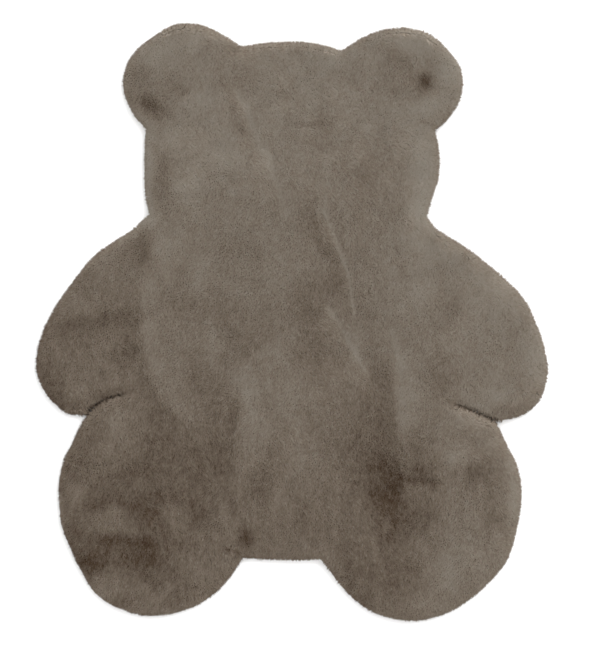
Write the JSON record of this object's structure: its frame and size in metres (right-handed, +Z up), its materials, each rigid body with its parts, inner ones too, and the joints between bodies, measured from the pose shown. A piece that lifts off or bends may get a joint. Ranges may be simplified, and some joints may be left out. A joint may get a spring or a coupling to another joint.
{
  "type": "bear shaped kids rug",
  "caption": "Flat taupe plush rug for a child's room, cut in one piece as a sitting bear, with soft short pile and a rounded edge.",
  "frame": {"origin": "middle of the rug's bounding box, on its flat underside", "axes": "+Y along the length from the legs to the ears, +Z up out of the pile, +X to the bear's left hand as seen from above"},
  "size_m": [0.8, 0.934, 0.0198],
  "materials": {
    "pile": "matt"
  },
  "bodies": {
    "root": {"rug": "pile"}
  },
  "joints": []
}
